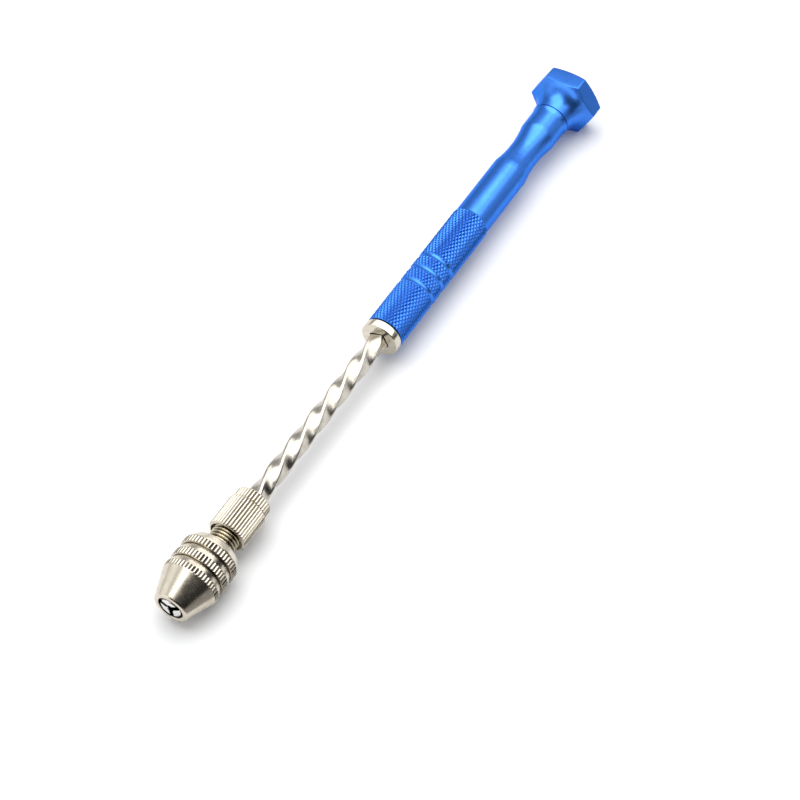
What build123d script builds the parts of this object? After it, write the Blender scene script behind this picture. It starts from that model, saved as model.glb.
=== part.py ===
from build123d import *
from math import cos, radians, sin, sqrt
import os

# Spiral push drill (semi-automatic pin vise), lying along X with the chuck nose at +X.
# All lengths are in millimetres. A station is a distance measured back from the nose face.

# ---- overall frame and common edges ----
TOTAL_LENGTH = 206.0
HEX_FLATS = 18.0
AXIS_HEIGHT = HEX_FLATS / 2
EDGE = 0.12
CHAMFER = 0.25
PRESS_CLEARANCE = 0.02
RUNNING_CLEARANCE = 0.06
RIDGE_GAP_SHARE = 0.6

# ---- chuck sleeve and its threaded insert ----
SLEEVE_RADIUS = 8.05
NOSE_RADIUS = 4.9
NOSE_OPENING = 3.6
NOSE_EDGE = 0.4
KNURL_BANDS = [(8.4, 9.7), (11.95, 13.8), (16.15, 17.9)]
GROOVES = [(11.7, 11.85), (15.85, 16.0)]
GROOVE_RADIUS = 7.35
BAND_TEETH = 48
TOOTH_DEPTH = 0.28
SLEEVE_END = 18.1
INNER_TAPER = 0.268
INNER_TAPER_END = 10.8
INSERT_FRONT = 11.7
INSERT_END = 20.45
INSERT_RADIUS = 6.5
INSERT_LIP = 7.85
INSERT_TAIL_RADIUS = 6.75
SEAL_GROOVE = (18.8, 19.8)
SEAL_GROOVE_RADIUS = 4.95
SEAL_RADIUS = 4.47
SEAL_WIRE = 0.39

# ---- jaws ----
JAW_ANGLES = [-26.0, 94.0, 214.0]
JAW_FRONT = 0.02
JAW_REAR = 8.3
JAW_CLEARANCE = 0.5
GRIP_RADIUS = 1.0
GRIP_HALF_ANGLE = 20.0
JAW_SPRING_STATION = 5.2
JAW_SPRING_DISTANCE = 3.0
JAW_SPRING_RADIUS = 0.42
JAW_SPRING_WIRE = 0.08
JAW_SPRING_TURNS = 6
JAW_SPRING_HOLE = 0.62
JAW_SPRING_DEPTH = 0.95
WEDGE_REACH = 20.0

# ---- threaded neck, M8 x 1 ----
NECK_RADIUS = 4.0
NECK_FRONT = 8.4
FIRST_CREST = 9.0
LAST_CREST = 25.9
NECK_END = 27.4
THREAD_PITCH = 1.0
THREAD_DEPTH = 0.5
CREST_WIDTH = 0.2
ROOT_WIDTH = 0.16
NECK_BORE = 1.75
NECK_BORE_END = 24.0
DRILL_POINT = 0.9

# ---- knurled collar and rod socket ----
COLLAR_RADIUS = 5.5
COLLAR_FRONT = 25.1
COLLAR_BORE = 4.75
COLLAR_CHAMFER = 0.45
COLLAR_END = 35.2
COLLAR_RIDGES = 36
SHANK_RADIUS = 3.35
SHANK_END = 31.6
SOCKET_FLANGE = (35.3, 38.5)
SOCKET_RADIUS = 5.02
SOCKET_SHOULDER = 0.7
SOCKET_RIDGES = 32
SOCKET_STEM_FRONT = 31.7
SOCKET_BORE = 2.86
RIDGE_DEPTH = 0.24

# ---- spiral rod, a left-hand twisted square bar ----
ROD_FRONT = 33.3
ROD_END = 110.65
ROD_SIDE = 4.4
ROD_CORNER = 2.8
ROD_LEAD = 39.4
CORNER_STATION = 49.67
CORNER_ANGLE = 64.0
TAIL_HOLE = 1.0
TAIL_HOLE_DEPTH = 6.2

# ---- nose nut ----
NUT_FRONT = 99.0
NUT_FLANGE_END = 101.4
NUT_RADIUS = 5.6
NUT_STEM_RADIUS = 4.4
NUT_STEM_END = 109.5
NUT_HOLE_CLEARANCE = 0.08
NUT_GUIDE_END = 102.0
NUT_BORE = 3.0

# ---- handle ----
HANDLE_FRONT = 101.86
HANDLE_END = 192.6
KNURL_END = 147.0
KNURL_STEP = 0.3
GRIP_OUTER = 5.58
GROOVE_STATIONS = [117.9, 123.06, 127.94]
GROOVE_WIDTH = 1.8
GROOVE_DEPTH = 0.35
PLAIN_RADIUS = 5.3
WAIST = (169.4, 177.0, 184.9)
WAIST_RADIUS = 4.5
SHOULDER_RADIUS = 5.33
LIP_START = 190.8
LIP_RADIUS = 5.66
LIP_SLOPE = 0.35
HANDLE_BORE = 3.5
NUT_SOCKET_END = 110.0
NUT_SOCKET_RADIUS = 4.43
PLUG_SOCKET = (186.0, 4.2)

# ---- moving parts inside the handle ----
BUMP_WASHER = (109.6, 110.5)
BUMP_WASHER_RADIUS = 3.4
STOP_WASHER = (110.65, 111.83)
STOP_RADIUS = 3.3
SCREW_HEAD = (111.85, 113.4)
SCREW_HEAD_RADIUS = 2.0
SCREW_LENGTH = 5.6
SLOT_WIDTH = 0.5
SLOT_DEPTH = 0.6
SEAT_FRONT = 114.3
SEAT_FACE = 115.7
SPIGOT_RADIUS = 2.2
SPIGOT_END = 119.0
SPIGOT_CHAMFER = 0.4
SEAT_BALL_RADIUS = 0.9
SEAT_BALL_STATION = 114.35
SPRING_RADIUS = 2.8
SPRING_WIRE = 0.275
SPRING_TURNS = 20
SPRING_GAP = 0.05

# ---- swivel cap ----
CAP_FRONT = 192.9
PLUG_END = 192.5
PIN_RADIUS = 2.42
PIN_END = 199.9
PIN_CHAMFER = 0.3
CLIP = (197.1, 197.9)
CLIP_RISE = 0.48
CLIP_SLOT_DEPTH = 0.4
CLIP_OPENING = 0.8
CAP_BORE = 2.5
CAP_BORE_END = 201.65
CLIP_GROOVE_RADIUS = 3.1
CLIP_GROOVE_MARGIN = 0.2
CAP_BALL_RADIUS = 1.2
CAP_BALL_STATION = 200.4
BALL_CONE_APEX = CAP_BALL_STATION - 1.43 * CAP_BALL_RADIUS
FLARE_END = (199.83, 10.35)
FLARE_MIDDLE = (197.9, 7.5)
DOME_RADIUS = 27.5
BLANK_RADIUS = 12.0


def at(station):
    """X of a station measured back from the nose."""
    return TOTAL_LENGTH / 2 - station


def dome(radius):
    """Station of the cap's domed end at a distance from the axis."""
    return TOTAL_LENGTH - DOME_RADIUS + sqrt(DOME_RADIUS ** 2 - radius ** 2)


def across(station):
    """Plane square to the axis; its x is Y, its y is Z, its normal points to the nose."""
    return Plane(origin=(at(station), 0, AXIS_HEIGHT), x_dir=(0, 1, 0), z_dir=(1, 0, 0))


def polar(radius, angle):
    """Y and Z of a point at a distance from the axis and an angle about +X counted from +Y."""
    return radius * cos(radians(angle)), radius * sin(radians(angle))


# Half plane through the axis: x runs along the drill, y is the radius.
AXIAL = Plane(origin=(0, 0, AXIS_HEIGHT), x_dir=(1, 0, 0), z_dir=(0, -1, 0))
DRILL_AXIS = Axis((0, 0, AXIS_HEIGHT), (1, 0, 0))


def turned(profile, mode=Mode.ADD):
    """Revolve (station, radius) points about the drill's axis, inside an open BuildPart."""
    with BuildSketch(AXIAL) as section:
        with BuildLine():
            Polyline([(at(s), r) for s, r in profile], close=True)
        make_face()
    revolve(section.sketch, axis=DRILL_AXIS, revolution_arc=360, mode=mode)


def ridges(start, end, radius, count, depth):
    """Cut straight ridges round a cylinder between two stations."""
    half_width = radius * radians(360 / count) * RIDGE_GAP_SHARE / 2
    with BuildSketch(across(end)) as notches:
        with PolarLocations(radius, count):
            Polygon((depth, -2 * half_width), (depth, 2 * half_width), (-depth, 0), align=None)
    extrude(notches.sketch, amount=end - start, mode=Mode.SUBTRACT)


def corner_angle(station):
    """Angle of one corner of the twisted bar about +X, counted from +Y."""
    return CORNER_ANGLE + 360 / ROD_LEAD * (station - CORNER_STATION)


def twisted_bar(start, end, grow, mode=Mode.ADD):
    """Sweep the square section back from a station, turning it left-handed with the lead."""
    turn = corner_angle(start) % 360 - 45
    length = end - start
    with BuildLine() as path:
        Line((at(start), 0, AXIS_HEIGHT), (at(end), 0, AXIS_HEIGHT))
    guide_plane = Plane(origin=(at(start), 0, AXIS_HEIGHT), x_dir=(0, 1, 0), z_dir=(-1, 0, 0))
    helix = guide_plane * Helix(pitch=ROD_LEAD, height=length, radius=3, lefthand=True, mode=Mode.PRIVATE)
    with BuildSketch(across(start)) as section:
        side = ROD_SIDE + 2 * grow
        Rectangle(side, side, rotation=turn)
        Rectangle(2 * (ROD_CORNER + grow), 2 * (ROD_CORNER + grow), rotation=turn + 45, mode=Mode.INTERSECT)
    sweep(section.sketch, path=path.line, binormal=Wire(helix.edges()), mode=mode)


os.makedirs("parts", exist_ok=True)

# ======================= chuck =======================

# Conical sleeve: three knurled bands in a sawtooth profile, tapered inside to close the jaws.
with BuildPart() as chuck_sleeve:
    nose_taper = (SLEEVE_RADIUS - NOSE_RADIUS) / KNURL_BANDS[0][0]
    sleeve_profile = [
        (CHAMFER, NOSE_OPENING),
        (0, NOSE_OPENING + CHAMFER),
        (0, NOSE_RADIUS - NOSE_EDGE),
        (EDGE, NOSE_RADIUS - EDGE),
        (NOSE_EDGE, NOSE_RADIUS + NOSE_EDGE * nose_taper),
        (KNURL_BANDS[0][0], SLEEVE_RADIUS),
    ]
    for band, groove, next_band in zip(KNURL_BANDS, GROOVES, KNURL_BANDS[1:]):
        sleeve_profile += [
            (band[1], SLEEVE_RADIUS),
            (groove[0], GROOVE_RADIUS),
            (groove[1], GROOVE_RADIUS),
            (next_band[0], SLEEVE_RADIUS),
        ]
    sleeve_profile += [
        (KNURL_BANDS[-1][1], SLEEVE_RADIUS),
        (SLEEVE_END, SLEEVE_RADIUS - EDGE),
        (SLEEVE_END, INSERT_RADIUS),
        (INNER_TAPER_END, INSERT_RADIUS),
        (INNER_TAPER_END, NOSE_OPENING + INNER_TAPER * (INNER_TAPER_END - CHAMFER)),
    ]
    turned(sleeve_profile)
    for band_start, band_end in KNURL_BANDS:
        ridges(band_start, band_end, SLEEVE_RADIUS, BAND_TEETH, TOOTH_DEPTH)
chuck_sleeve.part.label = "chuck_sleeve"
export_step(chuck_sleeve.part, "parts/chuck_sleeve.step")

# Threaded insert that closes the back of the sleeve and runs on the neck.
with BuildPart() as chuck_insert:
    insert_bore = NECK_RADIUS + RUNNING_CLEARANCE
    insert_face = SLEEVE_END + PRESS_CLEARANCE
    turned([
        (INSERT_FRONT, insert_bore + CHAMFER),
        (INSERT_FRONT, INSERT_RADIUS - PRESS_CLEARANCE),
        (insert_face, INSERT_RADIUS - PRESS_CLEARANCE),
        (insert_face, INSERT_LIP - EDGE),
        (insert_face + EDGE, INSERT_LIP),
        (insert_face + CHAMFER, INSERT_LIP),
        (INSERT_END - EDGE, INSERT_TAIL_RADIUS),
        (INSERT_END, INSERT_TAIL_RADIUS - EDGE),
        (INSERT_END, insert_bore + EDGE),
        (INSERT_END - EDGE, insert_bore),
        (SEAL_GROOVE[1], insert_bore),
        (SEAL_GROOVE[1], SEAL_GROOVE_RADIUS),
        (SEAL_GROOVE[0], SEAL_GROOVE_RADIUS),
        (SEAL_GROOVE[0], insert_bore),
        (INSERT_FRONT + CHAMFER, insert_bore),
    ])
chuck_insert.part.label = "chuck_insert"
export_step(chuck_insert.part, "parts/chuck_insert.step")

# Rubber ring in the insert's groove; it rides the neck and keeps the sleeve from rattling.
with BuildPart() as neck_seal:
    with BuildSketch(AXIAL):
        with Locations((at((SEAL_GROOVE[0] + SEAL_GROOVE[1]) / 2), SEAL_RADIUS)):
            Circle(SEAL_WIRE)
    revolve(axis=DRILL_AXIS, revolution_arc=360)
neck_seal.part.label = "neck_seal"
export_step(neck_seal.part, "parts/neck_seal.step")

# Three jaws: cone-backed wedges with a hollow grip land along the bit.
grip_corner_x = GRIP_RADIUS * cos(radians(GRIP_HALF_ANGLE))
grip_corner_y = GRIP_RADIUS * sin(radians(GRIP_HALF_ANGLE))
half_gap = grip_corner_x * sin(radians(60)) - grip_corner_y * cos(radians(60))
wedge_apex = half_gap / sin(radians(60))
jaw_back = NOSE_OPENING - JAW_CLEARANCE - CHAMFER * INNER_TAPER
jaw_edge = JAW_FRONT + CHAMFER

for number, angle in enumerate(JAW_ANGLES, start=1):
    with BuildPart() as jaw:
        turned([
            (JAW_FRONT, GRIP_RADIUS + CHAMFER),
            (JAW_FRONT, jaw_back - CHAMFER),
            (JAW_FRONT + EDGE, jaw_back - EDGE),
            (jaw_edge, jaw_back + INNER_TAPER * jaw_edge),
            (JAW_REAR, jaw_back + INNER_TAPER * JAW_REAR),
            (JAW_REAR, GRIP_RADIUS + CHAMFER),
            (JAW_REAR - CHAMFER, GRIP_RADIUS),
            (jaw_edge, GRIP_RADIUS),
        ])
        with BuildSketch(across(JAW_REAR + 1)):
            with BuildLine():
                Polyline([polar(wedge_apex, angle)] + [
                    (polar(wedge_apex, angle)[0] + polar(WEDGE_REACH, angle + side)[0],
                     polar(wedge_apex, angle)[1] + polar(WEDGE_REACH, angle + side)[1])
                    for side in (-60, 60)
                ], close=True)
            make_face()
        extrude(amount=JAW_REAR + 2, mode=Mode.INTERSECT)
        for side in (-60, 60):
            hole_y, hole_z = polar(JAW_SPRING_DISTANCE, angle + side)
            hole_plane = Plane(
                origin=(at(JAW_SPRING_STATION), hole_y, AXIS_HEIGHT + hole_z),
                x_dir=(1, 0, 0),
                z_dir=(0, *polar(1, angle + side + 90)),
            )
            with BuildSketch(hole_plane):
                Circle(JAW_SPRING_HOLE)
            extrude(amount=half_gap + JAW_SPRING_DEPTH, both=True, mode=Mode.SUBTRACT)
    jaw.part.label = f"jaw_{number}"
    export_step(jaw.part, f"parts/jaw_{number}.step")

# Three small springs that push neighbouring jaws apart.
jaw_spring_length = 2 * (half_gap + JAW_SPRING_DEPTH - JAW_SPRING_WIRE) - RUNNING_CLEARANCE
for number, angle in enumerate(JAW_ANGLES, start=1):
    middle_y, middle_z = polar(JAW_SPRING_DISTANCE, angle + 60)
    back_y, back_z = polar(jaw_spring_length / 2, angle + 60 - 90)
    coil_plane = Plane(
        origin=(at(JAW_SPRING_STATION), middle_y + back_y, AXIS_HEIGHT + middle_z + back_z),
        x_dir=(1, 0, 0),
        z_dir=(0, *polar(1, angle + 60 + 90)),
    )
    with BuildPart() as jaw_spring:
        coil = coil_plane * Helix(
            pitch=jaw_spring_length / JAW_SPRING_TURNS,
            height=jaw_spring_length,
            radius=JAW_SPRING_RADIUS,
            mode=Mode.PRIVATE,
        )
        with BuildSketch(Plane(origin=coil @ 0, z_dir=coil % 0)):
            Circle(JAW_SPRING_WIRE)
        sweep(path=coil, is_frenet=True)
    jaw_spring.part.label = f"jaw_spring_{number}"
    export_step(jaw_spring.part, f"parts/jaw_spring_{number}.step")

# ======================= spindle =======================

# Threaded neck: the chuck runs on it, the jaws lean on its front face, long bits reach into its bore.
with BuildPart() as threaded_neck:
    root_radius = NECK_RADIUS - THREAD_DEPTH
    flank = (THREAD_PITCH - CREST_WIDTH - ROOT_WIDTH) / 2
    neck_profile = [(NECK_FRONT, NECK_BORE + CHAMFER), (NECK_FRONT, root_radius)]
    crest = FIRST_CREST
    while crest < LAST_CREST:
        neck_profile += [
            (crest, NECK_RADIUS),
            (crest + CREST_WIDTH, NECK_RADIUS),
            (crest + CREST_WIDTH + flank, root_radius),
            (crest + CREST_WIDTH + flank + ROOT_WIDTH, root_radius),
        ]
        crest += THREAD_PITCH
    neck_profile += [
        (crest, NECK_RADIUS),
        (NECK_END, NECK_RADIUS),
        (NECK_END, SHANK_RADIUS),
        (SHANK_END - CHAMFER, SHANK_RADIUS),
        (SHANK_END, SHANK_RADIUS - CHAMFER),
        (SHANK_END, 0),
        (NECK_BORE_END + DRILL_POINT, 0),
        (NECK_BORE_END, NECK_BORE),
        (NECK_FRONT + CHAMFER, NECK_BORE),
    ]
    turned(neck_profile)
threaded_neck.part.label = "threaded_neck"
export_step(threaded_neck.part, "parts/threaded_neck.step")

# Knurled collar that ties the neck to the rod socket and gives the fingers a hold.
with BuildPart() as chuck_collar:
    turned([
        (COLLAR_FRONT, COLLAR_BORE),
        (COLLAR_FRONT, COLLAR_RADIUS - COLLAR_CHAMFER),
        (COLLAR_FRONT + COLLAR_CHAMFER, COLLAR_RADIUS),
        (COLLAR_END - COLLAR_CHAMFER, COLLAR_RADIUS),
        (COLLAR_END, COLLAR_RADIUS - COLLAR_CHAMFER),
        (COLLAR_END, SHANK_RADIUS + PRESS_CLEARANCE),
        (NECK_END + PRESS_CLEARANCE, SHANK_RADIUS + PRESS_CLEARANCE),
        (NECK_END + PRESS_CLEARANCE, COLLAR_BORE),
    ])
    ridges(COLLAR_FRONT, COLLAR_END, COLLAR_RADIUS, COLLAR_RIDGES, RIDGE_DEPTH)
chuck_collar.part.label = "chuck_collar"
export_step(chuck_collar.part, "parts/chuck_collar.step")

# Rod socket: small knurled flange with a stem pressed into the collar.
with BuildPart() as rod_socket:
    socket_floor = ROD_FRONT - RUNNING_CLEARANCE
    turned([
        (SOCKET_FLANGE[0], SHANK_RADIUS),
        (SOCKET_FLANGE[0], SOCKET_RADIUS),
        (SOCKET_FLANGE[1] - SOCKET_SHOULDER, SOCKET_RADIUS),
        (SOCKET_FLANGE[1] - CHAMFER, SOCKET_RADIUS - CHAMFER),
        (SOCKET_FLANGE[1], SOCKET_RADIUS - SOCKET_SHOULDER),
        (SOCKET_FLANGE[1], SOCKET_BORE),
        (socket_floor, SOCKET_BORE),
        (socket_floor, 0),
        (SOCKET_STEM_FRONT, 0),
        (SOCKET_STEM_FRONT, SHANK_RADIUS - CHAMFER),
        (SOCKET_STEM_FRONT + CHAMFER, SHANK_RADIUS),
    ])
    ridges(SOCKET_FLANGE[0], SOCKET_FLANGE[1], SOCKET_RADIUS, SOCKET_RIDGES, RIDGE_DEPTH)
rod_socket.part.label = "rod_socket"
export_step(rod_socket.part, "parts/rod_socket.step")

# Twisted square rod; the nose nut's square hole turns it as the handle is pushed.
with BuildPart() as spiral_rod:
    twisted_bar(ROD_FRONT, ROD_END, 0)
    with BuildSketch(across(ROD_END)):
        Circle(TAIL_HOLE)
    extrude(amount=TAIL_HOLE_DEPTH, mode=Mode.SUBTRACT)
spiral_rod.part.label = "spiral_rod"
export_step(spiral_rod.part, "parts/spiral_rod.step")

# Washer on the rod's tail: it stops the rod leaving the handle.
with BuildPart() as stop_washer:
    turned([
        (STOP_WASHER[0], TAIL_HOLE + PRESS_CLEARANCE),
        (STOP_WASHER[0], STOP_RADIUS),
        (STOP_WASHER[1], STOP_RADIUS),
        (STOP_WASHER[1], TAIL_HOLE + PRESS_CLEARANCE),
    ])
stop_washer.part.label = "stop_washer"
export_step(stop_washer.part, "parts/stop_washer.step")

# Cheese-head screw that holds the stop washer.
with BuildPart() as tail_screw:
    screw_radius = TAIL_HOLE - PRESS_CLEARANCE
    screw_tip = ROD_END - SCREW_LENGTH
    turned([
        (screw_tip, 0),
        (screw_tip, screw_radius - CHAMFER),
        (screw_tip + CHAMFER, screw_radius),
        (SCREW_HEAD[0], screw_radius),
        (SCREW_HEAD[0], SCREW_HEAD_RADIUS),
        (SCREW_HEAD[1] - CHAMFER, SCREW_HEAD_RADIUS),
        (SCREW_HEAD[1], SCREW_HEAD_RADIUS - CHAMFER),
        (SCREW_HEAD[1], 0),
    ])
    with BuildSketch(across(SCREW_HEAD[1])):
        Rectangle(3 * SCREW_HEAD_RADIUS, SLOT_WIDTH)
    extrude(amount=SLOT_DEPTH, mode=Mode.SUBTRACT)
tail_screw.part.label = "tail_screw"
export_step(tail_screw.part, "parts/tail_screw.step")

# ======================= spring seat =======================

# Cup that follows the rod's tail without turning and carries the return spring.
with BuildPart() as spring_seat:
    turned([
        (SEAT_FRONT, 0),
        (SEAT_FRONT, STOP_RADIUS),
        (SEAT_FACE, STOP_RADIUS),
        (SEAT_FACE, SPIGOT_RADIUS),
        (SPIGOT_END - SPIGOT_CHAMFER, SPIGOT_RADIUS),
        (SPIGOT_END, SPIGOT_RADIUS - SPIGOT_CHAMFER),
        (SPIGOT_END, 0),
    ])
    with Locations((at(SEAT_BALL_STATION), 0, AXIS_HEIGHT)):
        Sphere(SEAT_BALL_RADIUS + PRESS_CLEARANCE, mode=Mode.SUBTRACT)
spring_seat.part.label = "spring_seat"
export_step(spring_seat.part, "parts/spring_seat.step")

# Steel ball between the turning screw head and the seat.
with BuildPart() as seat_ball:
    with Locations((at(SEAT_BALL_STATION), 0, AXIS_HEIGHT)):
        Sphere(SEAT_BALL_RADIUS)
seat_ball.part.label = "seat_ball"
export_step(seat_ball.part, "parts/seat_ball.step")

# ======================= handle =======================

# Nose nut: its front plate has the twisted square hole, its stem screws into the handle.
with BuildPart() as nose_nut:
    turned([
        (NUT_FRONT, 0),
        (NUT_FRONT, NUT_RADIUS - EDGE),
        (NUT_FRONT + EDGE, NUT_RADIUS),
        (NUT_FLANGE_END - EDGE, NUT_RADIUS),
        (NUT_FLANGE_END, NUT_RADIUS - EDGE),
        (NUT_FLANGE_END, NUT_STEM_RADIUS),
        (NUT_STEM_END, NUT_STEM_RADIUS),
        (NUT_STEM_END, NUT_BORE),
        (NUT_GUIDE_END, NUT_BORE),
        (NUT_GUIDE_END, 0),
    ])
    twisted_bar(NUT_FRONT - 0.5, NUT_GUIDE_END + 0.5, NUT_HOLE_CLEARANCE, mode=Mode.SUBTRACT)
nose_nut.part.label = "nose_nut"
export_step(nose_nut.part, "parts/nose_nut.step")

# Nylon washer that takes the knock when the rod springs back.
with BuildPart() as bump_washer:
    turned([
        (BUMP_WASHER[0], NUT_BORE),
        (BUMP_WASHER[0], BUMP_WASHER_RADIUS),
        (BUMP_WASHER[1], BUMP_WASHER_RADIUS),
        (BUMP_WASHER[1], NUT_BORE),
    ])
bump_washer.part.label = "bump_washer"
export_step(bump_washer.part, "parts/bump_washer.step")

# Blue handle tube: grip with three finger grooves, plain length, waist, shoulder and flared lip.
with BuildPart() as handle_body:
    with BuildSketch(AXIAL):
        with BuildLine():
            Polyline([
                (at(HANDLE_FRONT), NUT_SOCKET_RADIUS),
                (at(HANDLE_FRONT), GRIP_OUTER - CHAMFER),
                (at(HANDLE_FRONT + CHAMFER), GRIP_OUTER),
            ])
            land_start = HANDLE_FRONT + CHAMFER
            for groove in GROOVE_STATIONS:
                groove_start = groove - GROOVE_WIDTH / 2
                groove_end = groove + GROOVE_WIDTH / 2
                Line((at(land_start), GRIP_OUTER), (at(groove_start), GRIP_OUTER))
                ThreePointArc(
                    (at(groove_start), GRIP_OUTER),
                    (at(groove), GRIP_OUTER - GROOVE_DEPTH),
                    (at(groove_end), GRIP_OUTER),
                )
                land_start = groove_end
            Polyline([
                (at(land_start), GRIP_OUTER),
                (at(KNURL_END), GRIP_OUTER),
                (at(KNURL_END + KNURL_STEP), PLAIN_RADIUS),
                (at(WAIST[0]), PLAIN_RADIUS),
            ])
            ThreePointArc(
                (at(WAIST[0]), PLAIN_RADIUS),
                (at(WAIST[1]), WAIST_RADIUS),
                (at(WAIST[2]), SHOULDER_RADIUS),
            )
            Line((at(WAIST[2]), SHOULDER_RADIUS), (at(LIP_START), SHOULDER_RADIUS))
            Spline(
                (at(LIP_START), SHOULDER_RADIUS),
                (at(HANDLE_END), LIP_RADIUS),
                tangents=((-1, 0), (-1, LIP_SLOPE)),
            )
            Polyline([
                (at(HANDLE_END), LIP_RADIUS),
                (at(HANDLE_END), PLUG_SOCKET[1]),
                (at(PLUG_SOCKET[0]), PLUG_SOCKET[1]),
                (at(PLUG_SOCKET[0]), HANDLE_BORE),
                (at(NUT_SOCKET_END), HANDLE_BORE),
                (at(NUT_SOCKET_END), NUT_SOCKET_RADIUS),
                (at(HANDLE_FRONT), NUT_SOCKET_RADIUS),
            ])
        make_face()
    revolve(axis=DRILL_AXIS, revolution_arc=360)
handle_body.part.label = "handle_body"
export_step(handle_body.part, "parts/handle_body.step")

# Plug screwed into the back of the handle; its pin carries the swivel cap.
with BuildPart() as swivel_plug:
    plug_front = PLUG_SOCKET[0] + RUNNING_CLEARANCE
    plug_radius = PLUG_SOCKET[1] - PRESS_CLEARANCE
    slot_radius = PIN_RADIUS - CLIP_SLOT_DEPTH
    turned([
        (plug_front, 0),
        (plug_front, plug_radius),
        (PLUG_END, plug_radius),
        (PLUG_END, PIN_RADIUS),
        (CLIP[0] - RUNNING_CLEARANCE, PIN_RADIUS),
        (CLIP[0] - RUNNING_CLEARANCE, slot_radius),
        (CLIP[1] + RUNNING_CLEARANCE, slot_radius),
        (CLIP[1] + RUNNING_CLEARANCE, PIN_RADIUS),
        (PIN_END - PIN_CHAMFER, PIN_RADIUS),
        (PIN_END, PIN_RADIUS - PIN_CHAMFER),
        (PIN_END, PIN_END - BALL_CONE_APEX),
        (BALL_CONE_APEX, 0),
    ])
swivel_plug.part.label = "swivel_plug"
export_step(swivel_plug.part, "parts/swivel_plug.step")

# Split spring clip on the pin, running in the cap's inner groove.
with BuildPart() as cap_clip:
    clip_bore = PIN_RADIUS - CLIP_SLOT_DEPTH + PRESS_CLEARANCE
    turned([
        (CLIP[0], clip_bore),
        (CLIP[0], PIN_RADIUS + CLIP_RISE),
        (CLIP[1], PIN_RADIUS + CLIP_RISE),
        (CLIP[1], clip_bore),
    ])
    with BuildSketch(across(CLIP[1] + 0.5)):
        with Locations((0, PIN_RADIUS)):
            Rectangle(CLIP_OPENING, PIN_RADIUS)
    extrude(amount=CLIP[1] - CLIP[0] + 1, mode=Mode.SUBTRACT)
cap_clip.part.label = "cap_clip"
export_step(cap_clip.part, "parts/cap_clip.step")

# Steel ball that takes the palm's push at the end of the pin.
with BuildPart() as cap_ball:
    with Locations((at(CAP_BALL_STATION), 0, AXIS_HEIGHT)):
        Sphere(CAP_BALL_RADIUS)
cap_ball.part.label = "cap_ball"
export_step(cap_ball.part, "parts/cap_ball.step")

# Long coil spring between the seat and the plug.
with BuildPart() as return_spring:
    coil_start = SEAT_FACE + SPRING_WIRE + SPRING_GAP
    coil_length = PLUG_SOCKET[0] - SPRING_WIRE - SPRING_GAP - coil_start
    coil_plane = Plane(origin=(at(coil_start), 0, AXIS_HEIGHT), x_dir=(0, 1, 0), z_dir=(-1, 0, 0))
    coil = coil_plane * Helix(
        pitch=coil_length / SPRING_TURNS,
        height=coil_length,
        radius=SPRING_RADIUS,
        mode=Mode.PRIVATE,
    )
    with BuildSketch(Plane(origin=coil @ 0, z_dir=coil % 0)):
        Circle(SPRING_WIRE)
    sweep(path=coil, is_frenet=True)
return_spring.part.label = "return_spring"
export_step(return_spring.part, "parts/return_spring.step")

# ======================= palm cap =======================

# Hexagonal palm cap: a hollow-turned flare runs out into six flats and a domed end.
with BuildPart() as hex_cap:
    groove_front = CLIP[0] - CLIP_GROOVE_MARGIN
    groove_back = CLIP[1] + CLIP_GROOVE_MARGIN
    with BuildSketch(AXIAL):
        with BuildLine():
            Polyline([
                (at(TOTAL_LENGTH), 0),
                (at(CAP_BORE_END), 0),
                (at(CAP_BORE_END), CAP_BORE),
                (at(groove_back), CAP_BORE),
                (at(groove_back), CLIP_GROOVE_RADIUS),
                (at(groove_front), CLIP_GROOVE_RADIUS),
                (at(groove_front), CAP_BORE),
                (at(CAP_FRONT), CAP_BORE),
                (at(CAP_FRONT), LIP_RADIUS),
            ])
            ThreePointArc(
                (at(CAP_FRONT), LIP_RADIUS),
                (at(FLARE_MIDDLE[0]), FLARE_MIDDLE[1]),
                (at(FLARE_END[0]), FLARE_END[1]),
            )
            Polyline([
                (at(FLARE_END[0]), FLARE_END[1]),
                (at(FLARE_END[0]), BLANK_RADIUS),
                (at(dome(BLANK_RADIUS)), BLANK_RADIUS),
            ])
            ThreePointArc(
                (at(dome(BLANK_RADIUS)), BLANK_RADIUS),
                (at(dome(BLANK_RADIUS / 2)), BLANK_RADIUS / 2),
                (at(TOTAL_LENGTH), 0),
            )
        make_face()
    revolve(axis=DRILL_AXIS, revolution_arc=360)
    with BuildSketch(across(TOTAL_LENGTH + 1)):
        RegularPolygon(radius=HEX_FLATS / sqrt(3), side_count=6)
    extrude(amount=20, mode=Mode.INTERSECT)
hex_cap.part.label = "hex_cap"
export_step(hex_cap.part, "parts/hex_cap.step")
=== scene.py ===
"""Looks of a spiral push drill: nickel chuck and twisted rod, blue anodised handle, hexagonal palm cap.

Shapes are in millimetres. A station is a distance measured back from the nose, an angle is counted
about +X from +Y, and every piece is made of rings of points round the drill's axis.
"""

import math

import bpy
import numpy as np
from mathutils import Matrix, Vector


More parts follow.
